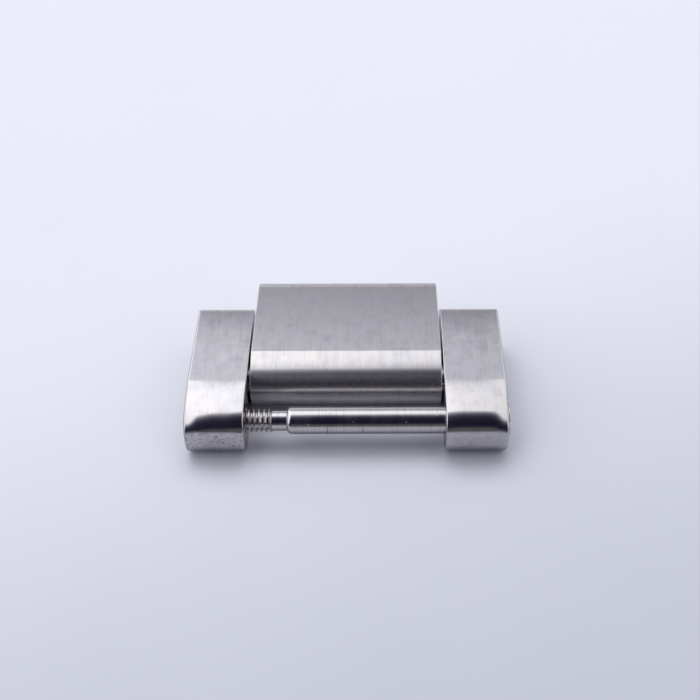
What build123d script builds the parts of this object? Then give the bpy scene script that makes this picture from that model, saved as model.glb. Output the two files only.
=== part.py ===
from build123d import *
from math import atan2, cos, degrees, radians, sin
import os

# A removable three-piece watch bracelet link, in millimetres and degrees.
# X runs across the bracelet, Y along it towards the rear, Z up from the underside.
# The origin is on the underside, midway across the link and midway along its whole length.

# Whole link
link_width = 16.00
link_thickness = 2.80
row_pitch = 8.30
row_gap = 0.10
pin_drop = 0.10
screw_setback = 1.30
axis_spacing = 2.90

# Side links
left_width = 2.96
right_width = 3.10
side_nose_upper_radius = 1.10
side_nose_lower_radius = 0.95
side_fall_run = 2.82
side_fall_tilt = 10.0
side_rear_radius = 0.45
outer_edge_radius = 0.20
inner_edge_break = 0.06

# Centre link
side_clearance = 0.07
centre_crease_run = 0.61
centre_crease_tilt = 10.0
centre_rear_reach = 1.01
centre_rear_radius = 0.95
centre_edge_break = 0.06

# Fixed pin
pin_diameter = 1.40
pin_grip = 1.80
pin_end_break = 0.12
pin_hole_spare = 0.15
pin_press = 0.004
pin_running_clearance = 0.03

# Link screw
shank_diameter = 1.38
shank_clearance = 0.03
shoulder_radius = 0.24
neck_diameter = 1.04
neck_length = 0.75
thread_diameter = 1.20
thread_clearance = 0.02
thread_showing = 1.325
thread_engaged = 2.15
tip_break = 0.15
tapped_hole_spare = 0.25
head_diameter = 1.70
head_length = 1.05
head_proud = 0.10
head_clearance = 0.03
head_edge_radius = 0.10
slot_width = 0.30
slot_depth = 0.40
slot_turn = 45.0
bore_mouth_break = 0.05

# Cuts run past what they cut by this much
overrun = 1.0

# Two places this near count as the same
same_place = 1e-4

# Places worked out from the sizes above
side_length = row_pitch - row_gap
screw_height = link_thickness / 2
pin_height = screw_height - pin_drop
left_inner_x = left_width - link_width / 2
right_inner_x = link_width / 2 - right_width
centre_left_x = left_inner_x + side_clearance
centre_right_x = right_inner_x - side_clearance
pin_setback = screw_setback + axis_spacing
rear_bore_setback = row_pitch + screw_setback
whole_length = rear_bore_setback + centre_rear_reach
front_y = -whole_length / 2
screw_y = front_y + screw_setback
pin_y = front_y + pin_setback
rear_bore_y = front_y + rear_bore_setback
screw_axis = (screw_y, screw_height)
pin_axis = (pin_y, pin_height)
rear_bore_axis = (rear_bore_y, screw_height)


def round_end(rear, radius, top):
    """The two rounded corners of a rear end, from the top edge down to the underside."""
    upper = CenterArc((rear - radius, top - radius), radius, 90, -90)
    lower = CenterArc((rear - radius, radius), radius, 0, -90)
    return upper, lower


def closed_outline(curves):
    """A face bounded by the curves in order, with straight lines between their ends."""
    edges = []
    for i, curve in enumerate(curves):
        following = curves[(i + 1) % len(curves)]
        edges.append(curve)
        if (curve @ 1 - following @ 0).length > same_place:
            edges.append(Line(curve @ 1, following @ 0))
    return make_face(edges)


def side_outline():
    """The side link seen from its end: flat top, gentle fall, rounded nose."""
    tilt = radians(side_fall_tilt)
    upper, lower = side_nose_upper_radius, side_nose_lower_radius
    fall_radius = upper + (side_fall_run - upper) / sin(tilt)
    fall_centre = (side_fall_run, link_thickness - fall_radius)
    nose_height = link_thickness - fall_radius * (1 - cos(tilt)) - upper * cos(tilt)
    return closed_outline(
        [
            CenterArc((lower, lower), lower, 270, -90),
            CenterArc((upper, nose_height), upper, 180, side_fall_tilt - 90),
            CenterArc(fall_centre, fall_radius, 90 + side_fall_tilt, -side_fall_tilt),
            *round_end(side_length, side_rear_radius, link_thickness),
        ]
    )


def centre_outline():
    """The centre link seen from its end: flat top, creased fall, nose round about the pin."""
    nose = pin_height
    rise = link_thickness - pin_height
    tilt = radians(centre_crease_tilt)
    # The fall's arc starts at the crease with its tilt and runs into the nose without a corner.
    across = rise * cos(tilt) - centre_crease_run * sin(tilt)
    fall_radius = (centre_crease_run**2 + rise**2 - nose**2) / (2 * (across - nose))
    fall_y = centre_crease_run + fall_radius * sin(tilt)
    fall_z = rise - fall_radius * cos(tilt)
    fall_centre = (pin_setback + fall_y, pin_height + fall_z)
    meeting = degrees(atan2(-fall_z, -fall_y))
    crease = degrees(atan2(rise - fall_z, centre_crease_run - fall_y))
    return closed_outline(
        [
            CenterArc((pin_setback, pin_height), nose, 270, meeting - 270),
            CenterArc(fall_centre, fall_radius, meeting, crease - meeting),
            *round_end(whole_length, centre_rear_radius, link_thickness),
        ]
    )


def extruded(outline, start_x, end_x):
    """The outline, drawn back from the link's front, made solid between two places across the link."""
    return Pos(start_x, front_y, 0) * extrude(Plane.YZ * outline, end_x - start_x)


def rod(start_x, end_x, radius, axis):
    """A cylinder along X about an axis given as its place along the bracelet and its height."""
    placed = Pos((start_x + end_x) / 2, *axis) * Rot(0, 90, 0)
    return placed * Cylinder(radius, end_x - start_x)


def rim_at(solid, x):
    """The outline edges of the solid's flat face at x."""
    faces = [f for f in solid.faces().filter_by(Axis.X) if abs(f.center().X - x) < same_place]
    return faces[0].outer_wire().edges()


def hole_mouths(solid, x, axis):
    """The round edges at x around an axis."""
    rings = solid.edges().filter_by(GeomType.CIRCLE)
    at_x = [e for e in rings if abs(e.arc_center.X - x) < same_place]
    return [e for e in at_x if abs(e.arc_center.Y - axis[0]) < same_place]


def corners_at(outline, x, y):
    """The corners of a flat outline at x and y."""
    at_x = [v for v in outline.vertices() if abs(v.X - x) < same_place]
    return [v for v in at_x if abs(v.Y - y) < same_place]


def pin_hole(inner_x, direction):
    """The blind hole that the fixed pin is pressed into, cut from a side link's inner face."""
    bottom = inner_x + direction * (pin_grip + pin_hole_spare)
    mouth = inner_x - direction * overrun
    return rod(min(bottom, mouth), max(bottom, mouth), pin_diameter / 2 - pin_press, pin_axis)


def make_left_side_link():
    """The link that the screw's thread turns into, through a blind tapped hole."""
    outer_x = -link_width / 2
    link = extruded(side_outline(), outer_x, left_inner_x)
    link = fillet(rim_at(link, outer_x), outer_edge_radius)
    link = chamfer(rim_at(link, left_inner_x), inner_edge_break)
    hole_end = left_inner_x - thread_engaged - tapped_hole_spare
    link -= rod(hole_end, left_inner_x + overrun, thread_diameter / 2 + thread_clearance, screw_axis)
    link -= pin_hole(left_inner_x, -1)
    return chamfer(hole_mouths(link, left_inner_x, screw_axis), bore_mouth_break)


def make_right_side_link():
    """The link that the screw goes in through, with a counterbore for its head."""
    outer_x = link_width / 2
    link = extruded(side_outline(), right_inner_x, outer_x)
    link = fillet(rim_at(link, outer_x), outer_edge_radius)
    link = chamfer(rim_at(link, right_inner_x), inner_edge_break)
    link -= rod(right_inner_x - overrun, outer_x, shank_diameter / 2 + shank_clearance, screw_axis)
    seat_x = outer_x + head_proud - head_length
    link -= rod(seat_x, outer_x + overrun, head_diameter / 2 + head_clearance, screw_axis)
    link -= pin_hole(right_inner_x, 1)
    return chamfer(hole_mouths(link, outer_x, screw_axis), bore_mouth_break)


def make_centre_link():
    """The middle link, with its pivot bore in front and the next row's screw bore behind."""
    link = extruded(centre_outline(), centre_left_x, centre_right_x)
    link = chamfer(rim_at(link, centre_left_x), centre_edge_break)
    link = chamfer(rim_at(link, centre_right_x), centre_edge_break)
    pivot_radius = pin_diameter / 2 + pin_running_clearance
    rear_radius = shank_diameter / 2 + shank_clearance
    for axis, radius in ((pin_axis, pivot_radius), (rear_bore_axis, rear_radius)):
        link -= rod(centre_left_x - overrun, centre_right_x + overrun, radius, axis)
        for x in (centre_left_x, centre_right_x):
            link = chamfer(hole_mouths(link, x, axis), bore_mouth_break)
    return link


def make_fixed_pin():
    """The plain pin that the centre link turns on, held in both side links."""
    pin = rod(left_inner_x - pin_grip, right_inner_x + pin_grip, pin_diameter / 2, pin_axis)
    return chamfer(pin.edges().filter_by(GeomType.CIRCLE), pin_end_break)


def make_link_screw():
    """The screw: slotted head, shank with a rounded shoulder, neck, and a plain rod for its thread."""
    head_end = link_width / 2 + head_proud
    seat = head_end - head_length
    tip = left_inner_x - thread_engaged
    thread_end = left_inner_x + thread_showing
    shank_start = thread_end + neck_length
    head, shank = head_diameter / 2, shank_diameter / 2
    neck, thread = neck_diameter / 2, thread_diameter / 2
    half = make_face(
        Polyline(
            (tip, 0),
            (tip, thread - tip_break),
            (tip + tip_break, thread),
            (thread_end, thread),
            (thread_end, neck),
            (shank_start, neck),
            (shank_start, shank),
            (seat, shank),
            (seat, head),
            (head_end, head),
            (head_end, 0),
            close=True,
        )
    )
    half = fillet(corners_at(half, shank_start, shank), min(shoulder_radius, shank - neck))
    half = fillet(corners_at(half, head_end, head), head_edge_radius)
    screw = Pos(0, *screw_axis) * revolve(half, Axis.X)
    slot_start = head_end - slot_depth
    slot_end = head_end + overrun
    slot = Box(slot_end - slot_start, head_diameter + overrun, slot_width)
    placed = Pos((slot_start + slot_end) / 2, *screw_axis) * Rot(-slot_turn, 0, 0)
    return screw - placed * slot


pieces = {
    "left_side_link": make_left_side_link,
    "right_side_link": make_right_side_link,
    "centre_link": make_centre_link,
    "fixed_pin": make_fixed_pin,
    "link_screw": make_link_screw,
}

os.makedirs("parts", exist_ok=True)
for name, make in pieces.items():
    export_step(make(), f"parts/{name}.step")
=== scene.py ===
"""Looks of a removable watch bracelet link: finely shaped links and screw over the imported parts."""

import math

import bpy
from mathutils import Matrix, Vector


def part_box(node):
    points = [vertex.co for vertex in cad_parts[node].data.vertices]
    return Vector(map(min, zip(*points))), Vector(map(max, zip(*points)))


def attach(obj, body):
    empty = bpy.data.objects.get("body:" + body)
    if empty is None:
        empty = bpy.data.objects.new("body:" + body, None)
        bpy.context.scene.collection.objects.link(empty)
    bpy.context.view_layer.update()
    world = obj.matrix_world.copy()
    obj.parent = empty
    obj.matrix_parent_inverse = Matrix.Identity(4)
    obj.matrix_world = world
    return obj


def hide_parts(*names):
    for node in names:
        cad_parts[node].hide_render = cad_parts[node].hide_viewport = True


bl_info = {
    "name": "Watch bracelet link",
    "version": (1, 0, 0),
    "blender": (4, 5, 0),
    "location": "3D Viewport > Sidebar > Bracelet",
    "description": "Dresses a removable bracelet link in shaped steel and sets its stage",
    "category": "Object",
}

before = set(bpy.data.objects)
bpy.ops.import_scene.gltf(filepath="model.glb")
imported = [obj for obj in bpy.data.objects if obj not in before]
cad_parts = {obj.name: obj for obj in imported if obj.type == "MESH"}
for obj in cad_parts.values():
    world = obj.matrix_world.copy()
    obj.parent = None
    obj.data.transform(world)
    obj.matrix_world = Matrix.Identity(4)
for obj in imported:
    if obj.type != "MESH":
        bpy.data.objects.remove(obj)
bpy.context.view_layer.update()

# Pieces are shaped with one unit to the millimetre, then brought down to metres
MM = 0.001
RIGHT_ANGLE = math.radians(90)

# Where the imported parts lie, in millimetres
LEFT_LOW, LEFT_HIGH = (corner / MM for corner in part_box("left_side_link"))
RIGHT_LOW, RIGHT_HIGH = (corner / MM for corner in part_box("right_side_link"))
CENTRE_LOW, CENTRE_HIGH = (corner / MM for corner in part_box("centre_link"))
SCREW_LOW, SCREW_HIGH = (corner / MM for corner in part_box("link_screw"))
PIN_LOW, PIN_HIGH = (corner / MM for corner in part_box("fixed_pin"))
SCREW_Y = (SCREW_LOW.y + SCREW_HIGH.y) / 2
PIN_Y = (PIN_LOW.y + PIN_HIGH.y) / 2
SCREW_Z = (SCREW_LOW.z + SCREW_HIGH.z) / 2
PIN_Z = (PIN_LOW.z + PIN_HIGH.z) / 2

# Two places this near count as the same, in millimetres
NEAR = 0.002
# A face counts as an end face when its normal points along X by more than this
END_FACING = 0.9

# Lengths that no slider changes, in millimetres
ROW_GAP = 0.10
BORE_MOUTH_CHAMFER = 0.05
CUT_PAST = 0.5
PIN_HOLE_SPARE = 0.15
TAPPED_HOLE_SPARE = 0.25
THREAD_CLEARANCE = 0.02
TIP_BREAK = 0.15
THREAD_START = 0.25
THREAD_RUN_OUT = 0.02
THREAD_LEAD = 0.05
THREAD_SUNK = 0.03
TURNED_CORNER = 0.02
HEAD_SEAT_BREAK = 0.04
HEAD_RIM = 0.06
# A flat step of the turned body leans by this much, because a ring can't be drawn on the spot
FLAT_STEP = 0.0005

# The thread's depth and its half widths at root and crest, as shares of its pitch
THREAD_DEPTH = 0.61
HALF_ROOT = 0.46
HALF_CREST = 0.07

# How finely the round shapes are drawn
BORE_SIDES = 96
SCREW_SIDES = 128
THREAD_STEPS = 48
SHOULDER_STEPS = 12
HEAD_RIM_STEPS = 8
OUTER_RIM_STEPS = 12
INNER_RIM_STEPS = 5

# Faces that meet at a flatter angle than this are shaded as one
SMOOTH_ANGLE = math.radians(32)


def to_linear(hex_colour):
    """An sRGB colour such as "#c8c6c9" as linear red, green, blue and alpha."""
    channels = [int(hex_colour[i : i + 2], 16) / 255 for i in (1, 3, 5)]
    linear = [c / 12.92 if c <= 0.04045 else ((c + 0.055) / 1.055) ** 2.4 for c in channels]
    return (*linear, 1.0)


def length(millimetres, name, description):
    """A size that a user can change, in the scene's unit of length."""
    return bpy.props.FloatProperty(
        name=name, description=description, default=millimetres * MM, unit="LENGTH"
    )


def angle(degrees, name, description):
    """An angle that a user can change."""
    return bpy.props.FloatProperty(
        name=name, description=description, default=math.radians(degrees), subtype="ANGLE"
    )


def roughness(share, name, description):
    """A surface's roughness that a user can change, from mirror (0) to matt (1)."""
    return bpy.props.FloatProperty(
        name=name, description=description, default=share, subtype="FACTOR"
    )


def colour(hex_colour, name, description):
    """A colour that a user can change."""
    return bpy.props.FloatVectorProperty(
        name=name, description=description, default=to_linear(hex_colour), subtype="COLOR", size=4
    )


class LinkShape(bpy.types.PropertyGroup):
    """Sizes of the three links."""

    nose_upper_radius: length(
        1.10, "Upper nose radius", "Rounding of a side link's nose above its front face"
    )
    nose_lower_radius: length(
        0.95, "Lower nose radius", "Rounding of a side link's nose below its front face"
    )
    fall_run: length(2.82, "Fall run", "How far from the front a side link's flat top begins")
    fall_tilt: angle(10, "Fall tilt", "Slope of a side link's top where it meets the nose")
    side_rear_radius: length(0.45, "Side rear radius", "Rounding of a side link's rear end")
    outer_edge_radius: length(
        0.13, "Outer edge radius", "Rounding of the edges on the bracelet's outside"
    )
    inner_edge_break: length(
        0.06, "Inner edge break", "Small rounding of the edges that face the gaps between the links"
    )
    nose_crown: length(0.12, "Nose crown", "How far the nose falls away towards its outer end")
    nose_crown_reach: length(
        1.5, "Nose crown reach", "How far from its outer end the nose falls away"
    )
    nose_corner: length(
        0.10, "Nose corner", "How far the nose's outer corner is polished away, the inner one half"
    )
    nose_corner_reach: length(
        0.75, "Nose corner reach", "How far from each corner the polishing reaches"
    )
    centre_crease_run: length(
        0.61, "Centre crease run", "How far behind the pin's axis the centre link's crease lies"
    )
    centre_crease_tilt: angle(
        10, "Centre crease tilt", "Slope of the centre link's top just in front of its crease"
    )
    centre_rear_taper: length(
        0.10,
        "Centre rear taper",
        "How far each side of the centre link is drawn in at its rear end",
    )
    centre_rear_corner: length(
        0.09, "Centre rear corner", "How far the centre link's two rear corners are rounded in"
    )
    centre_rear_radius: length(0.95, "Centre rear radius", "Rounding of the centre link's rear end")


class ScrewShape(bpy.types.PropertyGroup):
    """Sizes of the link screw and of the bores."""

    shank_radius: length(0.69, "Shank radius", "Radius of the polished shank")
    shoulder_length: length(
        0.23, "Shoulder length", "How far the shank's rounded shoulder reaches along it"
    )
    neck_radius: length(0.52, "Neck radius", "Radius of the plain neck between thread and shank")
    neck_length: length(0.75, "Neck length", "Length of the plain neck")
    thread_radius: length(0.60, "Thread radius", "Radius over the thread's crests")
    thread_pitch: length(0.25, "Thread pitch", "Distance from one crest to the next")
    thread_showing: length(
        1.325, "Thread showing", "Length of thread between the left side link and the neck"
    )
    head_radius: length(0.85, "Head radius", "Radius of the slotted head")
    head_length: length(1.05, "Head length", "Length of the slotted head")
    slot_width: length(0.30, "Slot width", "Width of the driver slot")
    slot_depth: length(0.40, "Slot depth", "Depth of the driver slot")
    slot_turn: angle(30, "Slot turn", "How far the driver slot is turned up from lying level")
    pin_clearance: length(
        0.03, "Running clearance", "Gap left round the pin, the shank and the head"
    )


class Finishes(bpy.types.PropertyGroup):
    """Colours and polish of the steel, and the colours of the floor."""

    steel: colour("#cbc8cb", "Brushed steel", "Colour of the brushed links")
    polished: colour("#d0cdcf", "Polished steel", "Colour of the screw and the pin")
    side_roughness: roughness(0.15, "Side link roughness", "Roughness of the brushed side links")
    centre_roughness: roughness(
        0.24, "Centre link roughness", "Roughness of the brushed centre link"
    )
    polished_roughness: roughness(0.15, "Polished roughness", "Roughness of the screw and the pin")
    floor: colour("#dee0eb", "Floor", "Colour of the floor beside the link")
    # Painted shade: the floor's darker colour towards the viewer, where the light falls off
    floor_painted_shade: colour("#bec1ce", "Floor in front", "Colour of the floor towards the viewer")


# Modelling by hand


def deselect_everything():
    """Leaves edit mode and lets go of every object."""
    active = bpy.context.view_layer.objects.active
    if active and active.mode != "OBJECT":
        bpy.ops.object.mode_set(mode="OBJECT")
    bpy.ops.object.select_all(action="DESELECT")


def start_point(name, place):
    """A new object in edit mode with one selected point, a plane merged at its middle."""
    deselect_everything()
    bpy.ops.mesh.primitive_plane_add(size=1, location=place)
    piece = bpy.context.object
    piece.name = piece.data.name = name
    bpy.ops.object.transform_apply(location=True, rotation=True, scale=True)
    bpy.ops.object.mode_set(mode="EDIT")
    bpy.ops.mesh.select_mode(type="VERT")
    bpy.ops.mesh.select_all(action="SELECT")
    bpy.ops.mesh.merge(type="CENTER")
    return piece


def draw_line(along_y, along_z, along_x=0.0):
    """Draws on from the selected point by a straight step."""
    step = (along_x, along_y, along_z)
    bpy.ops.mesh.extrude_vertices_move(TRANSFORM_OT_translate={"value": step})


def draw_arc(centre_y, centre_z, angle, steps, x):
    """Draws on from the selected point round a centre, clockwise as seen from +X."""
    bpy.ops.mesh.spin(steps=steps, angle=angle, center=(x, centre_y, centre_z), axis=(1, 0, 0))


def close_outline():
    """Joins the ends of the drawn outline and fills it with one face."""
    bpy.ops.mesh.select_all(action="SELECT")
    bpy.ops.mesh.remove_doubles(threshold=NEAR)
    bpy.ops.mesh.edge_face_add()
    bpy.ops.mesh.select_mode(type="FACE")
    bpy.ops.mesh.select_all(action="SELECT")


def pull(along_x):
    """Extrudes the selected end face along X."""
    bpy.ops.mesh.extrude_region_move(TRANSFORM_OT_translate={"value": (along_x, 0, 0)})


def select_end_face(piece, x):
    """Selects only the flat face of the piece that lies at x."""
    bpy.ops.mesh.select_mode(type="FACE")
    bpy.ops.mesh.select_all(action="DESELECT")
    bpy.ops.object.mode_set(mode="OBJECT")
    faces = piece.data.polygons
    ends = [f for f in faces if abs(f.center.x - x) < NEAR and abs(f.normal.x) > END_FACING]
    if not ends:
        raise RuntimeError(f"{piece.name} has no end face at x = {x}")
    max(ends, key=lambda f: f.area).select = True
    bpy.ops.object.mode_set(mode="EDIT")


def round_rim(radius, steps):
    """Rounds the selected end face's rim: ring after ring, each set further in and further out."""
    turns = [RIGHT_ANGLE * i / steps for i in range(steps + 1)]
    for before, after in zip(turns, turns[1:]):
        forward = radius * (math.sin(after) - math.sin(before))
        inward = radius * (math.cos(before) - math.cos(after))
        bpy.ops.mesh.inset(thickness=inward, depth=forward, use_even_offset=True)


def select_points(piece, wanted):
    """Selects only the points of the piece whose places pass the test."""
    bpy.ops.mesh.select_mode(type="VERT")
    bpy.ops.mesh.select_all(action="DESELECT")
    bpy.ops.object.mode_set(mode="OBJECT")
    for point in piece.data.vertices:
        point.select = wanted(point.co)
    bpy.ops.object.mode_set(mode="EDIT")


def face_outwards():
    """Turns all faces of the mesh being edited outwards."""
    bpy.ops.mesh.select_all(action="SELECT")
    bpy.ops.mesh.normals_make_consistent(inside=False)


def lathe(name, stations, centre_y, centre_z, sides):
    """A turned body about an axis along X, drawn ring by ring through its (x, radius) stations."""
    deselect_everything()
    first_x, first_radius = stations[0]
    bpy.ops.mesh.primitive_circle_add(
        vertices=sides,
        radius=first_radius,
        fill_type="NGON",
        location=(first_x, centre_y, centre_z),
        rotation=(0, RIGHT_ANGLE, 0),
    )
    body = bpy.context.object
    body.name = body.data.name = name
    bpy.ops.object.transform_apply(location=True, rotation=True, scale=True)
    bpy.ops.object.mode_set(mode="EDIT")
    bpy.ops.mesh.select_mode(type="FACE")
    bpy.ops.mesh.select_all(action="SELECT")
    for (x, radius), (next_x, next_radius) in zip(stations, stations[1:]):
        pull(next_x - x)
        share = next_radius / radius
        if share != 1:
            middle = (next_x, centre_y, centre_z)
            bpy.ops.transform.resize(value=(1, share, share), center_override=middle)
    face_outwards()
    bpy.ops.object.mode_set(mode="OBJECT")
    return body


def cut_away(piece, cutter):
    """Takes the cutter's shape out of the piece and removes the cutter."""
    deselect_everything()
    bpy.context.view_layer.objects.active = piece
    piece.select_set(True)
    bpy.ops.object.modifier_add(type="BOOLEAN")
    taking = piece.modifiers[-1]
    taking.operation = "DIFFERENCE"
    taking.solver = "EXACT"
    taking.object = cutter
    bpy.ops.object.modifier_apply(modifier=taking.name)
    bpy.data.objects.remove(cutter)


def join_into(piece, other):
    """Makes the other object's mesh part of the piece."""
    deselect_everything()
    other.select_set(True)
    piece.select_set(True)
    bpy.context.view_layer.objects.active = piece
    bpy.ops.object.join()


def finish_piece(piece, body, node, finish):
    """Smooths the piece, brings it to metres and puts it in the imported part's place."""
    deselect_everything()
    bpy.context.view_layer.objects.active = piece
    piece.select_set(True)
    bpy.ops.object.shade_smooth_by_angle(angle=SMOOTH_ANGLE)
    bpy.ops.object.modifier_add(type="WEIGHTED_NORMAL")
    weighting = piece.modifiers[-1]
    weighting.keep_sharp = True
    weighting.weight = 100
    bpy.ops.object.modifier_apply(modifier=weighting.name)
    piece.scale = (MM, MM, MM)
    bpy.ops.object.transform_apply(location=False, rotation=False, scale=True)
    piece.data.materials.clear()
    piece.data.materials.append(finish)
    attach(piece, body)
    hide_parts(node)


def bore_cutter(name, low_x, high_x, radius, axis, mouths):
    """A cutter for a round bore, with a chamfer at each mouth given as (x, direction)."""
    chamfer, wide = BORE_MOUTH_CHAMFER, radius + BORE_MOUTH_CHAMFER + CUT_PAST
    stations = []
    if (low_x, -1) in mouths:
        stations += [(low_x - CUT_PAST, wide), (low_x + chamfer, radius)]
    else:
        stations += [(low_x, radius)]
    if (high_x, 1) in mouths:
        stations += [(high_x - chamfer, radius), (high_x + CUT_PAST, wide)]
    else:
        stations += [(high_x, radius)]
    return lathe(name, stations, *axis, BORE_SIDES)


# Finishes

# The kinds of node used most
MATH = "ShaderNodeMath"
RANGE = "ShaderNodeMapRange"
BLEND = "ShaderNodeMix"
NOISE = "ShaderNodeTexNoise"
CELLS = "ShaderNodeTexVoronoi"
SPLIT = "ShaderNodeSeparateXYZ"
MAPPING = "ShaderNodeMapping"
RAMP = "ShaderNodeValToRGB"
COORDINATES = "ShaderNodeTexCoord"
GEOMETRY = "ShaderNodeNewGeometry"
LIGHT_PATH = "ShaderNodeLightPath"
SHADER = "ShaderNodeBsdfPrincipled"
BACKGROUND = "ShaderNodeBackground"
SURFACE_OUTPUT = "ShaderNodeOutputMaterial"


def add_node(tree, kind, inputs=(), **settings):
    """Adds a node with its settings; an input takes a value, a socket or a node's first output."""
    made = tree.nodes.new(kind)
    for setting, value in settings.items():
        setattr(made, setting, value)
    for socket, value in inputs.items() if isinstance(inputs, dict) else enumerate(inputs):
        if isinstance(value, bpy.types.Node):
            value = next(output for output in value.outputs if output.enabled)
        if isinstance(value, bpy.types.NodeSocket):
            tree.links.new(value, made.inputs[socket])
        else:
            made.inputs[socket].default_value = value
    return made


def new_material(name):
    """A material whose node tree is empty."""
    material = bpy.data.materials.new(name)
    material.use_nodes = True
    material.node_tree.nodes.clear()
    return material, material.node_tree


def set_ramp(ramp, stops):
    """Gives a colour ramp its stops as (position, colour)."""
    elements = ramp.color_ramp.elements
    while len(elements) > 1:
        elements.remove(elements[-1])
    for i, (position, tone) in enumerate(stops):
        element = elements[0] if i == 0 else elements.new(position)
        element.position = position
        element.color = tone


def shaded(tone, share):
    """The colour made darker or lighter by a share."""
    return tuple(min(1.0, c * share) for c in tone[:3]) + (1.0,)


def line_pattern(tree, places, facing_side, lines_per_mm, run_per_mm):
    """Fine lines along the bracelet: across X on the top and noses, across Z on the outer sides."""
    across, along = lines_per_mm / MM, run_per_mm / MM
    fields = []
    for scale in ((across, along, along), (along, along, across)):
        mapped = add_node(tree, MAPPING, {"Vector": places, "Scale": scale})
        noise = {"Vector": mapped, "Scale": 1.0, "Detail": 3.0, "Roughness": 0.6}
        fields.append(add_node(tree, NOISE, noise))
    return add_node(tree, BLEND, {"Factor": facing_side, "A": fields[0], "B": fields[1]})


def mottling(tree, places, spots_per_mm, detail):
    """Soft uneven patches, the same in every direction."""
    noise = {"Vector": places, "Scale": spots_per_mm / MM, "Detail": detail, "Roughness": 0.55}
    return add_node(tree, NOISE, noise)


def blended(tree, first, share, second):
    """A share of the first pattern with the rest of the second."""
    rest = add_node(tree, MATH, (second, 1 - share), operation="MULTIPLY")
    return add_node(tree, MATH, (first, share, rest), operation="MULTIPLY_ADD")


def worn_front(tree, places, facing):
    """One on the lower fronts of the noses, nothing elsewhere."""
    height = add_node(tree, SPLIT, {"Vector": places}).outputs["Z"]
    limits = ((facing["Y"], -0.80, -0.94), (height, 2.15 * MM, 1.85 * MM))
    forward, low = (
        add_node(
            tree,
            RANGE,
            {"Value": value, "From Min": nothing, "From Max": whole},
            interpolation_type="SMOOTHSTEP",
        )
        for value, nothing, whole in limits
    )
    return add_node(tree, MATH, (forward, low), operation="MULTIPLY")


def left_share(tree, places):
    """One on the left of the link, falling to a quarter on its right."""
    across = add_node(tree, SPLIT, {"Vector": places}).outputs["X"]
    limits = {"From Min": -5 * MM, "From Max": 5 * MM, "To Min": 1.0, "To Max": 0.25}
    return add_node(tree, RANGE, {"Value": across, **limits})


def steel_tangent(tree, facing_side):
    """The direction across the brushing: along X, and upright on the outer sides."""
    level = add_node(tree, MATH, (1.0, facing_side), operation="SUBTRACT")
    return add_node(tree, "ShaderNodeCombineXYZ", {"X": level, "Z": facing_side})


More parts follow.
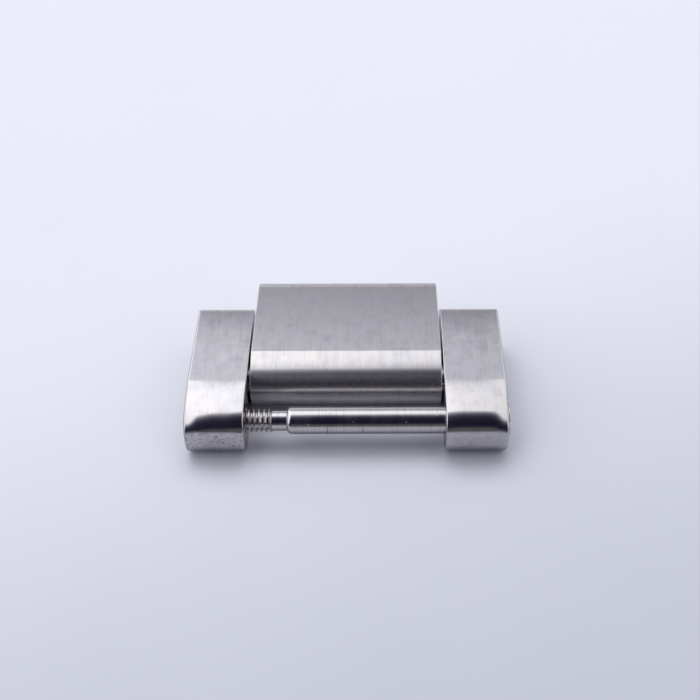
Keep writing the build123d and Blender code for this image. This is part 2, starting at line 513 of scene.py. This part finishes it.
def brushed_steel(finishes, name, dullness, fall_polishing, nose_dulling, wear):
    """Stainless steel 316L brushed along the bracelet: satin, yet a mirror along its lines."""
    material, tree = new_material(name)
    places = add_node(tree, COORDINATES).outputs["Object"]
    normal = add_node(tree, GEOMETRY).outputs["Normal"]
    facing = add_node(tree, SPLIT, {"Vector": normal}).outputs
    facing_side = add_node(tree, MATH, (facing["X"],), operation="ABSOLUTE")

    # A belt of grit 400 leaves lines about 0.02 mm apart, drawn 0.05 mm apart so that they show
    fine = line_pattern(tree, places, facing_side, lines_per_mm=20.0, run_per_mm=0.5)
    # Hand pressure varies over about half a millimetre
    broad = line_pattern(tree, places, facing_side, lines_per_mm=2.2, run_per_mm=0.7)
    strokes = blended(tree, fine, 0.5, broad)
    shade = blended(tree, strokes, 0.6, mottling(tree, places, spots_per_mm=1.6, detail=4.0))
    tones = add_node(tree, RAMP, {"Fac": shade})
    steel = tuple(finishes.steel)
    set_ramp(tones, [(0.36, shaded(steel, 0.84)), (0.50, steel), (0.64, shaded(steel, 1.08))])

    # Handling leaves patches a little bluer or warmer than the steel
    tint = add_node(tree, RAMP, {"Fac": mottling(tree, places, spots_per_mm=0.9, detail=3.0)})
    bluer, plain, warmer = (0.98, 0.99, 1.0, 1), (1, 1, 1, 1), (1.0, 0.99, 0.965, 1)
    set_ramp(tint, [(0.38, bluer), (0.50, plain), (0.64, warmer)])
    tinted = add_node(
        tree,
        BLEND,
        {"Factor": 1.0, "A": tones, "B": tint},
        data_type="RGBA",
        blend_type="MULTIPLY",
    )

    # The noses' lower fronts rub on the next row: dark nicks 0.1 to 0.2 mm long, drawn level
    nick_scale = (4.2 / MM, 7.5 / MM, 9.0 / MM)
    nick_places = add_node(tree, MAPPING, {"Vector": places, "Scale": nick_scale})
    nicks = add_node(tree, CELLS, {"Vector": nick_places, "Scale": 1.0})
    uneven = mottling(tree, places, spots_per_mm=2.4, detail=2.0)
    nearness = add_node(tree, MATH, (nicks, uneven), operation="MULTIPLY")
    nicked = add_node(
        tree,
        RANGE,
        {"Value": nearness, "From Min": 0.19, "From Max": 0.08, "To Max": wear},
        interpolation_type="SMOOTHSTEP",
    )
    # The thread's side of the link has rubbed more
    rubbed = add_node(tree, MATH, (nicked, left_share(tree, places)), operation="MULTIPLY")
    lower_front = worn_front(tree, places, facing)
    soiled = add_node(tree, MATH, (rubbed, lower_front), operation="MULTIPLY")
    nicked_colour = {"Factor": soiled, "A": tinted, "B": shaded(steel, 0.28)}
    coloured = add_node(tree, BLEND, nicked_colour, data_type="RGBA")

    # The darker strokes are a little rougher
    swing = 0.03
    flat = add_node(
        tree,
        RANGE,
        {
            "Value": shade,
            "From Min": 0.35,
            "From Max": 0.65,
            "To Min": dullness + swing,
            "To Max": dullness - swing,
        },
    )
    # The fall in front of the crease is rubbed finer than the flat top
    fall = {"From Min": -0.04, "From Max": -0.18, "To Max": -fall_polishing}
    finer = add_node(tree, RANGE, {"Value": facing["Y"], **fall})
    # A nose is finished by hand across its round, which leaves it duller than the flats
    nose = {"From Min": -0.40, "From Max": -0.62, "To Max": nose_dulling}
    duller = add_node(tree, RANGE, {"Value": facing["Y"], **nose})
    rough = add_node(tree, MATH, (flat, finer), operation="ADD")
    rough = add_node(tree, MATH, (lower_front, 0.08, rough), operation="MULTIPLY_ADD")
    rough = add_node(tree, MATH, (duller, rough), operation="ADD")

    stroke_depth = {"Height": strokes, "Strength": 0.25, "Distance": 0.0015 * MM}
    shader = add_node(
        tree,
        SHADER,
        {
            "Base Color": coloured,
            "Metallic": 1.0,
            "Roughness": rough,
            "Anisotropic": 0.6,
            "Tangent": steel_tangent(tree, facing_side),
            "Normal": add_node(tree, "ShaderNodeBump", stroke_depth),
        },
    )
    add_node(tree, SURFACE_OUTPUT, {"Surface": shader})
    return material


def side_link_steel(finishes):
    """The side links' steel: a finer belt, and noses nicked by the next row."""
    return brushed_steel(
        finishes,
        "brushed_316l_steel",
        finishes.side_roughness,
        fall_polishing=0.0,
        nose_dulling=0.0,
        wear=0.8,
    )


def centre_link_steel(finishes):
    """The centre link's steel: satin on top, finer on its fall and duller on its round nose."""
    return brushed_steel(
        finishes,
        "satin_316l_steel",
        finishes.centre_roughness,
        fall_polishing=0.08,
        nose_dulling=0.12,
        wear=0.0,
    )


def hairline(tree, along, place):
    """One within 0.02 mm of a place along the axis, nothing beyond."""
    off = add_node(tree, MATH, (along, place * MM), operation="SUBTRACT")
    distance = add_node(tree, MATH, (off,), operation="ABSOLUTE")
    return add_node(tree, MATH, (distance, 0.02 * MM), operation="LESS_THAN")


def turned_steel(finishes):
    """Stainless steel 316L, turned and polished: bright, with faint rings left round the axis."""
    material, tree = new_material("turned_316l_steel")
    places = add_node(tree, COORDINATES).outputs["Object"]
    # A turning feed of about 0.04 mm leaves rings round the axis, so they change along X alone
    ring_scale = (22 / MM, 0.4 / MM, 0.4 / MM)
    ring_places = add_node(tree, MAPPING, {"Vector": places, "Scale": ring_scale})
    noise = {"Vector": ring_places, "Scale": 1.0, "Detail": 2.0, "Roughness": 0.5}
    rings = add_node(tree, NOISE, noise)
    smears = mottling(tree, places, spots_per_mm=1.3, detail=3.0)
    tones = add_node(tree, RAMP, {"Fac": blended(tree, rings, 0.6, smears)})
    steel = tuple(finishes.polished)
    set_ramp(tones, [(0.38, shaded(steel, 0.84)), (0.52, steel)])

    # Two dark hairlines scored part of the way round the shank, on its lower side
    along_x = add_node(tree, SPLIT, {"Vector": places}).outputs["X"]
    lines = [hairline(tree, along_x, x) for x in (-0.95, 0.81)]
    both = add_node(tree, MATH, lines, operation="ADD")
    normal = add_node(tree, GEOMETRY).outputs["Normal"]
    upward = add_node(tree, SPLIT, {"Vector": normal}).outputs["Z"]
    lower_side = add_node(tree, MATH, (upward, 0.3), operation="LESS_THAN")
    scored = add_node(tree, MATH, (both, lower_side), operation="MULTIPLY")
    scored_colour = {"Factor": scored, "A": tones, "B": shaded(steel, 0.3)}
    marked = add_node(tree, BLEND, scored_colour, data_type="RGBA")

    polish = finishes.polished_roughness
    varied = {"From Min": 0.35, "From Max": 0.65, "To Min": polish - 0.03, "To Max": polish + 0.05}
    smeared = add_node(tree, RANGE, {"Value": smears, **varied})
    # A few pits under 0.05 mm across, which look light in the dark reflections
    pits = add_node(tree, CELLS, {"Vector": places, "Scale": 2.6 / MM})
    edge = {"From Min": 0.10, "From Max": 0.05, "To Max": 0.5}
    pitted = add_node(tree, RANGE, {"Value": pits, **edge})
    rough = add_node(tree, MATH, (smeared, pitted), operation="ADD")

    ring_depth = {"Height": rings, "Strength": 0.3, "Distance": 0.0006 * MM}
    shader = add_node(
        tree,
        SHADER,
        {
            "Base Color": marked,
            "Metallic": 1.0,
            "Roughness": rough,
            "Normal": add_node(tree, "ShaderNodeBump", ring_depth),
        },
    )
    add_node(tree, SURFACE_OUTPUT, {"Surface": shader})
    return material


def shared_turned_steel(finishes):
    """The turned steel, made once for the screw and the pin."""
    return bpy.data.materials.get("turned_316l_steel") or turned_steel(finishes)


# The pieces


def side_link(name, inner_x, outer_x, shape):
    """A side link without its holes: one traced outline, pulled across and rounded at both rims."""
    outward = 1 if outer_x > inner_x else -1
    front, rear, top = LEFT_LOW.y, LEFT_HIGH.y, LEFT_HIGH.z
    upper, lower = shape.nose_upper_radius / MM, shape.nose_lower_radius / MM
    run, rear_radius = shape.fall_run / MM, shape.side_rear_radius / MM
    # The flat top falls in a wide arc, which meets the nose's arc at the tilt
    tilt = shape.fall_tilt
    fall = upper + (run - upper) / math.sin(tilt)
    nose_z = top - fall * (1 - math.cos(tilt)) - upper * math.cos(tilt)
    brk = shape.inner_edge_break / MM
    start_x = inner_x + outward * brk

    link = start_point(name, (start_x, front + lower, 0))
    draw_arc(front + lower, lower, RIGHT_ANGLE, steps=32, x=start_x)
    draw_line(0, nose_z - lower)
    draw_arc(front + upper, nose_z, RIGHT_ANGLE - tilt, steps=40, x=start_x)
    draw_arc(front + run, top - fall, tilt, steps=24, x=start_x)
    draw_line(rear - rear_radius - front - run, 0)
    draw_arc(rear - rear_radius, top - rear_radius, RIGHT_ANGLE, steps=20, x=start_x)
    draw_line(0, 2 * rear_radius - top)
    draw_arc(rear - rear_radius, rear_radius, RIGHT_ANGLE, steps=20, x=start_x)
    close_outline()

    # Short pulls where the nose's corners are polished down, one long pull between them
    edge = shape.outer_edge_radius / MM
    crown, crown_reach = shape.nose_crown / MM, shape.nose_crown_reach / MM
    corner, corner_reach = shape.nose_corner / MM, shape.nose_corner_reach / MM
    inner_rings, outer_rings = 6, 20
    for _ in range(inner_rings):
        pull(outward * corner_reach / inner_rings)
    pull(outward * (abs(outer_x - start_x) - edge - crown_reach - corner_reach))
    for _ in range(outer_rings):
        pull(outward * crown_reach / outer_rings)
    face_outwards()
    select_end_face(link, outer_x - outward * edge)
    round_rim(edge, OUTER_RIM_STEPS)
    select_end_face(link, start_x)
    round_rim(brk, INNER_RIM_STEPS)

    centre = (front + upper, nose_z)
    draw_in_nose(link, outer_x, centre, upper, crown, crown_reach)
    draw_in_nose(link, outer_x, centre, upper, corner, corner_reach)
    draw_in_nose(link, inner_x, centre, upper, corner / 2, corner_reach)
    bpy.ops.object.mode_set(mode="OBJECT")
    return link


def draw_in_nose(link, end_x, centre, radius, amount, reach):
    """Draws the nose's rim in towards the nose's centre, softly over its reach across the link."""
    y, z = centre
    passes = 8
    share = 1 - amount / radius / passes
    # Each pass takes in a longer stretch of the rim, so its hollowing fades out along it. The
    # stretch's two ends are counted from the nose's centre, in nose radii.
    ahead, rearward, above, downward = 0.35, 1.6, 0.75, 0.55
    for i in range(1, passes + 1):
        rearmost = y + (i / passes - ahead) * rearward * radius
        lowest = z + radius * (above - downward * i / passes)
        select_points(
            link,
            lambda place: abs(place.x - end_x) < NEAR and place.y < rearmost and place.z > lowest,
        )
        bpy.ops.transform.resize(
            value=(1, share, share),
            center_override=(end_x, y, z),
            use_proportional_edit=True,
            proportional_edit_falloff="SHARP",
            proportional_size=reach,
        )


def pin_hole(piece, inner_x, outward, end_x):
    """Cuts the blind hole that the fixed pin sits in."""
    radius = (PIN_HIGH.z - PIN_LOW.z) / 2
    mouth, bottom = inner_x - outward, end_x + outward * PIN_HOLE_SPARE
    stations = [(min(mouth, bottom), radius), (max(mouth, bottom), radius)]
    cut_away(piece, lathe("pin_hole", stations, PIN_Y, PIN_Z, BORE_SIDES))


class BRACELET_OT_side_links(bpy.types.Operator):
    """Build the left and the right side link with their holes"""

    bl_idname = "bracelet.side_links"
    bl_label = "Side links"

    def execute(self, context):
        shape, screw = context.scene.bracelet_shape, context.scene.bracelet_screw
        steel = side_link_steel(context.scene.bracelet_finishes)
        clearance = screw.pin_clearance / MM
        axis = (SCREW_Y, SCREW_Z)

        inner, outer = LEFT_HIGH.x, LEFT_LOW.x
        left = side_link("left_side_link_shaped", inner, outer, shape)
        pin_hole(left, inner, -1, PIN_LOW.x)
        bottom = SCREW_LOW.x - TAPPED_HOLE_SPARE
        tapped = screw.thread_radius / MM + THREAD_CLEARANCE
        cut_away(left, bore_cutter("tapped_hole", bottom, inner, tapped, axis, {(inner, 1)}))
        finish_piece(left, "side_links", "left_side_link", steel)

        inner, outer = RIGHT_LOW.x, RIGHT_HIGH.x
        right = side_link("right_side_link_shaped", inner, outer, shape)
        pin_hole(right, inner, 1, PIN_HIGH.x)
        through = screw.shank_radius / MM + clearance
        cut_away(right, bore_cutter("shank_hole", inner, outer, through, axis, {(inner, -1)}))
        seat = SCREW_HIGH.x - screw.head_length / MM
        wide = screw.head_radius / MM + clearance
        cut_away(right, bore_cutter("head_seat", seat, outer, wide, axis, {(outer, 1)}))
        finish_piece(right, "side_links", "right_side_link", steel)
        return {"FINISHED"}


class BRACELET_OT_centre_link(bpy.types.Operator):
    """Build the set-back centre link with its crease, round nose and two bores"""

    bl_idname = "bracelet.centre_link"
    bl_label = "Centre link"

    def execute(self, context):
        shape, screw = context.scene.bracelet_shape, context.scene.bracelet_screw
        top, rear = CENTRE_HIGH.z, CENTRE_HIGH.y
        nose, rise = PIN_Z, top - PIN_Z
        run, tilt = shape.centre_crease_run / MM, shape.centre_crease_tilt
        rear_radius = shape.centre_rear_radius / MM
        brk = shape.inner_edge_break / MM
        # The fall's arc starts at the crease with its tilt and runs into the nose without a corner
        across = rise * math.cos(tilt) - run * math.sin(tilt)
        fall = (run**2 + rise**2 - nose**2) / (2 * (across - nose))
        fall_y, fall_z = run + fall * math.sin(tilt), rise - fall * math.cos(tilt)
        meeting = math.atan2(fall_z, fall_y)
        start_x = CENTRE_LOW.x + brk

        link = start_point("centre_link_shaped", (start_x, PIN_Y, 0))
        draw_arc(PIN_Y, PIN_Z, RIGHT_ANGLE - meeting, steps=56, x=start_x)
        fall_turn = math.pi + meeting - (RIGHT_ANGLE + tilt)
        draw_arc(PIN_Y + fall_y, PIN_Z + fall_z, fall_turn, steps=32, x=start_x)
        draw_line(rear - rear_radius - PIN_Y - run, 0)
        draw_arc(rear - rear_radius, top - rear_radius, RIGHT_ANGLE, steps=32, x=start_x)
        draw_line(0, 2 * rear_radius - top)
        draw_arc(rear - rear_radius, rear_radius, RIGHT_ANGLE, steps=32, x=start_x)
        close_outline()
        pull(CENTRE_HIGH.x - CENTRE_LOW.x - 2 * brk)
        face_outwards()
        for end_x in (CENTRE_HIGH.x - brk, start_x):
            select_end_face(link, end_x)
            round_rim(brk, INNER_RIM_STEPS)
        draw_in_rear(link, rear, shape.centre_rear_taper / MM, shape.centre_rear_corner / MM)

        clearance = screw.pin_clearance / MM
        pivot = (PIN_HIGH.z - PIN_LOW.z) / 2 + clearance
        rear_bore = screw.shank_radius / MM + clearance
        mouths = {(CENTRE_LOW.x, -1), (CENTRE_HIGH.x, 1)}
        rear_y = SCREW_Y + LEFT_HIGH.y - LEFT_LOW.y + ROW_GAP
        ends = (CENTRE_LOW.x, CENTRE_HIGH.x)
        cut_away(link, bore_cutter("pivot_bore", *ends, pivot, (PIN_Y, PIN_Z), mouths))
        cut_away(link, bore_cutter("rear_bore", *ends, rear_bore, (rear_y, SCREW_Z), mouths))
        mark_crease(link, PIN_Y + run, top)
        steel = centre_link_steel(context.scene.bracelet_finishes)
        finish_piece(link, "centre", "centre_link", steel)
        return {"FINISHED"}


def draw_in_rear(link, rear, taper, corner):
    """Narrows the centre link's rear end from both sides, and rounds its corners a little more."""
    width = CENTRE_HIGH.x - CENTRE_LOW.x
    middle = (CENTRE_HIGH.x + CENTRE_LOW.x) / 2
    taper_reach, corner_reach = 2.2, 0.5
    select_points(link, lambda place: place.y > rear - NEAR)
    for amount, falloff, reach in (
        (taper, "LINEAR", taper_reach),
        (corner, "SHARP", corner_reach),
    ):
        bpy.ops.transform.resize(
            value=(1 - 2 * amount / width, 1, 1),
            center_override=(middle, rear, 0),
            use_proportional_edit=True,
            proportional_edit_falloff=falloff,
            proportional_size=reach,
        )
    bpy.ops.object.mode_set(mode="OBJECT")


def mark_crease(link, crease_y, top):
    """Marks the centre link's crease sharp, so that its two faces are shaded apart."""
    deselect_everything()
    bpy.context.view_layer.objects.active = link
    link.select_set(True)
    bpy.ops.object.mode_set(mode="EDIT")
    select_points(
        link, lambda place: abs(place.y - crease_y) < NEAR and abs(place.z - top) < NEAR
    )
    bpy.ops.mesh.select_mode(type="EDGE")
    bpy.ops.mesh.mark_sharp()
    bpy.ops.object.mode_set(mode="OBJECT")


class BRACELET_OT_link_screw(bpy.types.Operator):
    """Build the link screw with its true thread, neck, rounded shoulder, shank and slotted head"""

    bl_idname = "bracelet.link_screw"
    bl_label = "Link screw"

    def execute(self, context):
        screw = context.scene.bracelet_screw
        crest, pitch = screw.thread_radius / MM, screw.thread_pitch / MM
        root = crest - THREAD_DEPTH * pitch
        neck, shank = screw.neck_radius / MM, screw.shank_radius / MM
        head = screw.head_radius / MM
        tip, end = SCREW_LOW.x, SCREW_HIGH.x
        thread_end = LEFT_HIGH.x + screw.thread_showing / MM
        shank_start = thread_end + screw.neck_length / MM
        shoulder = screw.shoulder_length / MM
        seat = end - screw.head_length / MM

        corner = TURNED_CORNER
        stations = [
            (tip, root - TIP_BREAK),
            (tip + TIP_BREAK, root),
            (thread_end - THREAD_LEAD, root),
            (thread_end, neck),
            (shank_start - corner, neck),
        ]
        for i in range(SHOULDER_STEPS + 1):
            turn = RIGHT_ANGLE * i / SHOULDER_STEPS
            along, outward = 1 - math.cos(turn), math.sin(turn)
            radius = neck + corner + (shank - neck - corner) * outward
            stations.append((shank_start + shoulder * along, radius))
        stations += [
            (seat - corner, shank),
            (seat, shank + corner),
            (seat + FLAT_STEP, head - HEAD_SEAT_BREAK),
            (seat + HEAD_SEAT_BREAK, head),
        ]
        rim = HEAD_RIM
        for i in range(HEAD_RIM_STEPS + 1):
            turn = RIGHT_ANGLE * i / HEAD_RIM_STEPS
            stations.append((end - rim + rim * math.sin(turn), head - rim + rim * math.cos(turn)))
        body = lathe("link_screw_shaped", stations, SCREW_Y, SCREW_Z, SCREW_SIDES)

        depth, past = screw.slot_depth / MM, CUT_PAST
        deselect_everything()
        bpy.ops.mesh.primitive_cube_add(
            size=1,
            location=(end - depth + (depth + past) / 2, SCREW_Y, SCREW_Z),
            rotation=(-screw.slot_turn, 0, 0),
            scale=(depth + past, 2 * head + past, screw.slot_width / MM),
        )
        cut_away(body, bpy.context.object)
        ridge = helix("thread", tip + THREAD_START, thread_end + THREAD_RUN_OUT, crest, root, pitch)
        join_into(body, ridge)
        steel = shared_turned_steel(context.scene.bracelet_finishes)
        finish_piece(body, "screw", "link_screw", steel)
        return {"FINISHED"}


def helix(name, start_x, end_x, crest, root, pitch):
    """The thread's ridge: one traced tooth, wound round and along the axis by a screw modifier."""
    half_root, half_crest, sunk = HALF_ROOT * pitch, HALF_CREST * pitch, THREAD_SUNK
    turns = int((end_x - start_x) / pitch)
    ridge = start_point(name, (-half_root, 0, root - sunk))
    draw_line(0, sunk, 0)
    draw_line(0, crest - root, half_root - half_crest)
    draw_line(0, 0, 2 * half_crest)
    draw_line(0, root - crest, half_root - half_crest)
    draw_line(0, -sunk, 0)
    bpy.ops.mesh.select_all(action="SELECT")
    bpy.ops.mesh.edge_face_add()
    bpy.ops.mesh.delete(type="ONLY_FACE")
    bpy.ops.object.mode_set(mode="OBJECT")
    bpy.ops.object.modifier_add(type="SCREW")
    winding = ridge.modifiers[-1]
    winding.axis = "X"
    winding.screw_offset = pitch
    winding.iterations = turns
    winding.steps = winding.render_steps = THREAD_STEPS
    bpy.ops.object.modifier_apply(modifier=winding.name)
    bpy.ops.object.mode_set(mode="EDIT")
    bpy.ops.mesh.select_mode(type="EDGE")
    bpy.ops.mesh.select_all(action="DESELECT")
    bpy.ops.mesh.select_non_manifold()
    bpy.ops.mesh.fill_holes(sides=0)
    face_outwards()
    # The ends are turned under the screw's rear, and the last turn runs into the neck
    bpy.ops.transform.rotate(value=math.radians(135), orient_axis="X", center_override=(0, 0, 0))
    bpy.ops.transform.translate(value=(end_x - turns * pitch, SCREW_Y, SCREW_Z))
    bpy.ops.object.mode_set(mode="OBJECT")
    return ridge


class BRACELET_OT_fixed_pin(bpy.types.Operator):
    """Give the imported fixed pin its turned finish"""

    bl_idname = "bracelet.fixed_pin"
    bl_label = "Fixed pin"

    def execute(self, context):
        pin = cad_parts["fixed_pin"]
        pin.data.materials.clear()
        pin.data.materials.append(shared_turned_steel(context.scene.bracelet_finishes))
        return {"FINISHED"}


# The stage

# What the steel mirrors: the light's linear colour by the ray's height in degrees, from level
# towards the viewer (0) over straight up (90) to level behind (180)
SURROUND = (
    # The viewer's dark side of the room
    (0, (0.122, 0.114, 0.112)),
    (8, (0.068, 0.063, 0.066)),
    (16, (0.022, 0.022, 0.034)),
    (24, (0.008, 0.008, 0.020)),
    (50, (0.009, 0.009, 0.021)),
    (64, (0.014, 0.014, 0.028)),
    (75, (0.037, 0.037, 0.060)),
    (85, (0.13, 0.13, 0.16)),
    # The bright screen overhead
    (94, (0.40, 0.40, 0.43)),
    (97, (0.65, 0.65, 0.67)),
    (101, (0.85, 0.85, 0.87)),
    (106, (0.94, 0.94, 0.96)),
    (112, (0.95, 0.95, 0.97)),
    (125, (0.93, 0.93, 0.95)),
    (129.5, (0.84, 0.85, 0.89)),
    # The dimmer wall behind, with a dark line along its top
    (131.2, (0.67, 0.68, 0.73)),
    (133, (0.54, 0.55, 0.60)),
    (134.6, (0.54, 0.55, 0.61)),
    (135.6, (0.70, 0.71, 0.76)),
    (136.1, (0.74, 0.75, 0.80)),
    (136.8, (0.12, 0.12, 0.16)),
    (140.6, (0.12, 0.12, 0.15)),
    (144, (0.38, 0.38, 0.41)),
    (165, (0.46, 0.46, 0.49)),
    (180, (0.46, 0.46, 0.49)),
)

# Where the surround's front meets its back, in degrees
SCREEN_MIDDLE = 110.0
# By how many degrees the surround shifts with the ray's sideways part, which is 0 to 1
DARK_SIDE_SPREAD = 180.0
RIGHT_LEAN = -48.0
RIGHT_LEAN_END = 0.25
WALL_HALF_WIDTH = 0.3
WALL_FALL = -110.0


def floor_paper(finishes):
    """Pale coated paper: matt, with painted shade that darkens it towards the viewer, and faint
    uneven tone.
    """
    material, tree = new_material("pale_paper")
    places = add_node(tree, COORDINATES).outputs["Object"]
    parts = add_node(tree, SPLIT, {"Vector": places}).outputs
    # Painted shade, darker towards the viewer, measured a little askew because the light falls from
    # behind on the left
    away = add_node(tree, MATH, (parts["X"], -0.35, parts["Y"]), operation="MULTIPLY_ADD")
    nearness = add_node(
        tree,
        RANGE,
        {"Value": away, "From Min": 12 * MM, "From Max": -26 * MM},
        interpolation_type="SMOOTHSTEP",
    )
    noise = {"Vector": places, "Scale": 0.12 / MM, "Detail": 2.0, "Roughness": 0.5}
    clouds = add_node(tree, NOISE, noise)
    uneven = add_node(tree, MATH, (clouds, 0.12, -0.06), operation="MULTIPLY_ADD")
    share = add_node(tree, MATH, (nearness, uneven), operation="ADD")
    behind, in_front = tuple(finishes.floor), tuple(finishes.floor_painted_shade)
    paper = add_node(tree, BLEND, {"Factor": share, "A": behind, "B": in_front}, data_type="RGBA")

    # Seen in the steel alone, the paper is dark towards the viewer, as in the photo's reflections
    # Painted shadow: in the steel's reflections only, the paper's end towards the viewer is coloured
    # dark grey, standing for the viewer's shadow
    mirrored = add_node(tree, LIGHT_PATH).outputs["Is Glossy Ray"]
    limits = {"From Min": -10 * MM, "From Max": -24 * MM, "To Min": 0.25, "To Max": 0.93}
    shaded_end = add_node(
        tree, RANGE, {"Value": parts["Y"], **limits}, interpolation_type="SMOOTHSTEP"
    )
    darkened = add_node(tree, MATH, (mirrored, shaded_end), operation="MULTIPLY")
    painted_shadow_end = {"Factor": darkened, "A": paper, "B": to_linear("#26262b")}
    toned = add_node(tree, BLEND, painted_shadow_end, data_type="RGBA")
    matt = {"Base Color": toned, "Roughness": 0.9, "Specular IOR Level": 0.2}
    add_node(tree, SURFACE_OUTPUT, {"Surface": add_node(tree, SHADER, matt)})
    return material


def studio_world(scene):
    """Soft light from above and behind, dim at the back wall and dark on the viewer's side."""
    world = bpy.data.worlds.new("studio")
    scene.world = world
    world.use_nodes = True
    tree = world.node_tree
    tree.nodes.clear()
    ray = add_node(tree, COORDINATES).outputs["Generated"]
    parts = add_node(tree, SPLIT, {"Vector": ray}).outputs
    towards = add_node(tree, MATH, (parts["Y"], -1.0), operation="MULTIPLY")
    height = add_node(tree, MATH, (parts["Z"], towards), operation="ARCTAN2")
    degrees = add_node(tree, MATH, (height, 180 / math.pi), operation="MULTIPLY")

    # The viewer's dark side is lower far off to the sides, and reaches higher on the right
    squared = add_node(tree, MATH, (parts["X"], parts["X"]), operation="MULTIPLY")
    spread = add_node(tree, MATH, (squared, DARK_SIDE_SPREAD), operation="MULTIPLY")
    right = add_node(tree, MATH, (parts["X"], 0.0), operation="MAXIMUM")
    right = add_node(tree, MATH, (right, RIGHT_LEAN_END), operation="MINIMUM")
    shift = add_node(tree, MATH, (right, RIGHT_LEAN, spread), operation="MULTIPLY_ADD")
    in_front = add_node(tree, MATH, (degrees, shift), operation="ADD")
    in_front = add_node(tree, MATH, (in_front, SCREEN_MIDDLE), operation="MINIMUM")

    # The dim wall behind is only so wide as well
    across = add_node(tree, MATH, (parts["X"],), operation="ABSOLUTE")
    beside = add_node(tree, MATH, (across, WALL_HALF_WIDTH), operation="SUBTRACT")
    beside = add_node(tree, MATH, (beside, 0.0), operation="MAXIMUM")
    behind = add_node(tree, MATH, (beside, WALL_FALL, degrees), operation="MULTIPLY_ADD")
    behind = add_node(tree, MATH, (behind, SCREEN_MIDDLE), operation="MAXIMUM")

    at_back = add_node(tree, MATH, (degrees, SCREEN_MIDDLE), operation="GREATER_THAN")
    counted = add_node(tree, BLEND, {"Factor": at_back, "A": in_front, "B": behind})
    share = add_node(tree, MATH, (counted, 180.0), operation="DIVIDE")
    ramp = add_node(tree, RAMP, {"Fac": share})
    set_ramp(ramp, [(at / 180, (*light, 1)) for at, light in SURROUND])

    # The bright screen is only so wide, so light from far sideways is weaker
    screen = {"From Min": 0.42, "From Max": 0.85, "To Min": 1.5, "To Max": 1.0}
    wide = add_node(tree, RANGE, {"Value": across, **screen}, interpolation_type="SMOOTHSTEP")
    # The window is on the left
    window = {"From Min": -0.2, "From Max": 0.2, "To Min": 1.16, "To Max": 0.84}
    leftward = add_node(tree, RANGE, {"Value": parts["X"], **window})
    strength = add_node(tree, MATH, (wide, leftward), operation="MULTIPLY")
    room = add_node(tree, BACKGROUND, {"Color": ramp, "Strength": strength})
    # The camera sees a plain pale backdrop past the floor's edge, which the steel doesn't mirror
    backdrop = add_node(tree, BACKGROUND, {"Color": to_linear("#e5e7f3"), "Strength": 1.0})
    seen = add_node(tree, LIGHT_PATH).outputs["Is Camera Ray"]
    mixed = add_node(tree, "ShaderNodeMixShader", (seen, room, backdrop))
    add_node(tree, "ShaderNodeOutputWorld", {"Surface": mixed})


class BRACELET_OT_stage(bpy.types.Operator):
    """Set the floor, the soft light and the camera"""

    bl_idname = "bracelet.stage"
    bl_label = "Stage"

    def execute(self, context):
        scene = context.scene
        # The floor lies a hair below the underside, so that their faces don't coincide
        deselect_everything()
        bpy.ops.mesh.primitive_plane_add(size=1.2, location=(0, 0, -0.02 * MM))
        floor = context.object
        floor.name = "floor"
        floor.data.materials.append(floor_paper(scene.bracelet_finishes))
        studio_world(scene)

        # A wide lamp behind and above the link, for the floor and the soft shadow in front
        lean = math.radians(28)
        away = 0.30
        place = Vector((-0.03, away * math.sin(lean), away * math.cos(lean)))
        bpy.ops.object.light_add(type="AREA", location=place)
        lamp = context.object
        lamp.name = "window"
        lamp.rotation_euler = (-lamp.location).to_track_quat("-Z", "Y").to_euler()
        lamp.data.shape = "RECTANGLE"
        lamp.data.size = 0.24
        lamp.data.size_y = 0.16
        lamp.data.energy = 0.33
        lamp.data.color = (1.0, 0.99, 0.97)
        lamp.visible_glossy = False

        # The viewpoint, lens and shift come from a fit to the photograph
        bpy.ops.object.camera_add(location=(1.41 * MM, -38.905 * MM, 41.25 * MM))
        camera = context.object
        camera.name = "viewpoint"
        pitch, roll = math.radians(45), math.radians(-0.2)
        turned = Matrix.Rotation(pitch, 3, "X") @ Matrix.Rotation(roll, 3, "Z")
        camera.rotation_euler = turned.to_euler()
        camera.data.sensor_width = 36
        camera.data.lens = 54.37
        camera.data.shift_x = -0.03546
        camera.data.clip_start = 0.001
        camera.data.clip_end = 10
        scene.camera = camera
        scene.view_settings.view_transform = "Standard"
        return {"FINISHED"}


class BRACELET_PT_panel(bpy.types.Panel):
    """Sizes, finishes and the steps that build the link"""

    bl_idname = "BRACELET_PT_panel"
    bl_label = "Bracelet link"
    bl_space_type = "VIEW_3D"
    bl_region_type = "UI"
    bl_category = "Bracelet"

    def draw(self, context):
        layout = self.layout
        for step in STEPS:
            layout.operator(step.bl_idname)
        for settings in (
            context.scene.bracelet_shape,
            context.scene.bracelet_screw,
            context.scene.bracelet_finishes,
        ):
            box = layout.box()
            for name in settings.__annotations__:
                box.prop(settings, name)


STEPS = (
    BRACELET_OT_side_links,
    BRACELET_OT_centre_link,
    BRACELET_OT_link_screw,
    BRACELET_OT_fixed_pin,
    BRACELET_OT_stage,
)
GROUPS = {
    "bracelet_shape": LinkShape,
    "bracelet_screw": ScrewShape,
    "bracelet_finishes": Finishes,
}


def register():
    for group in GROUPS.values():
        bpy.utils.register_class(group)
    for name, group in GROUPS.items():
        setattr(bpy.types.Scene, name, bpy.props.PointerProperty(type=group))
    for step in STEPS:
        bpy.utils.register_class(step)
    bpy.utils.register_class(BRACELET_PT_panel)


def unregister():
    bpy.utils.unregister_class(BRACELET_PT_panel)
    for step in reversed(STEPS):
        bpy.utils.unregister_class(step)
    for name, group in GROUPS.items():
        delattr(bpy.types.Scene, name)
        bpy.utils.unregister_class(group)


def main():
    register()
    bpy.ops.bracelet.side_links()
    bpy.ops.bracelet.centre_link()
    bpy.ops.bracelet.link_screw()
    bpy.ops.bracelet.fixed_pin()
    bpy.ops.bracelet.stage()


if __name__ == "__main__":
    main()
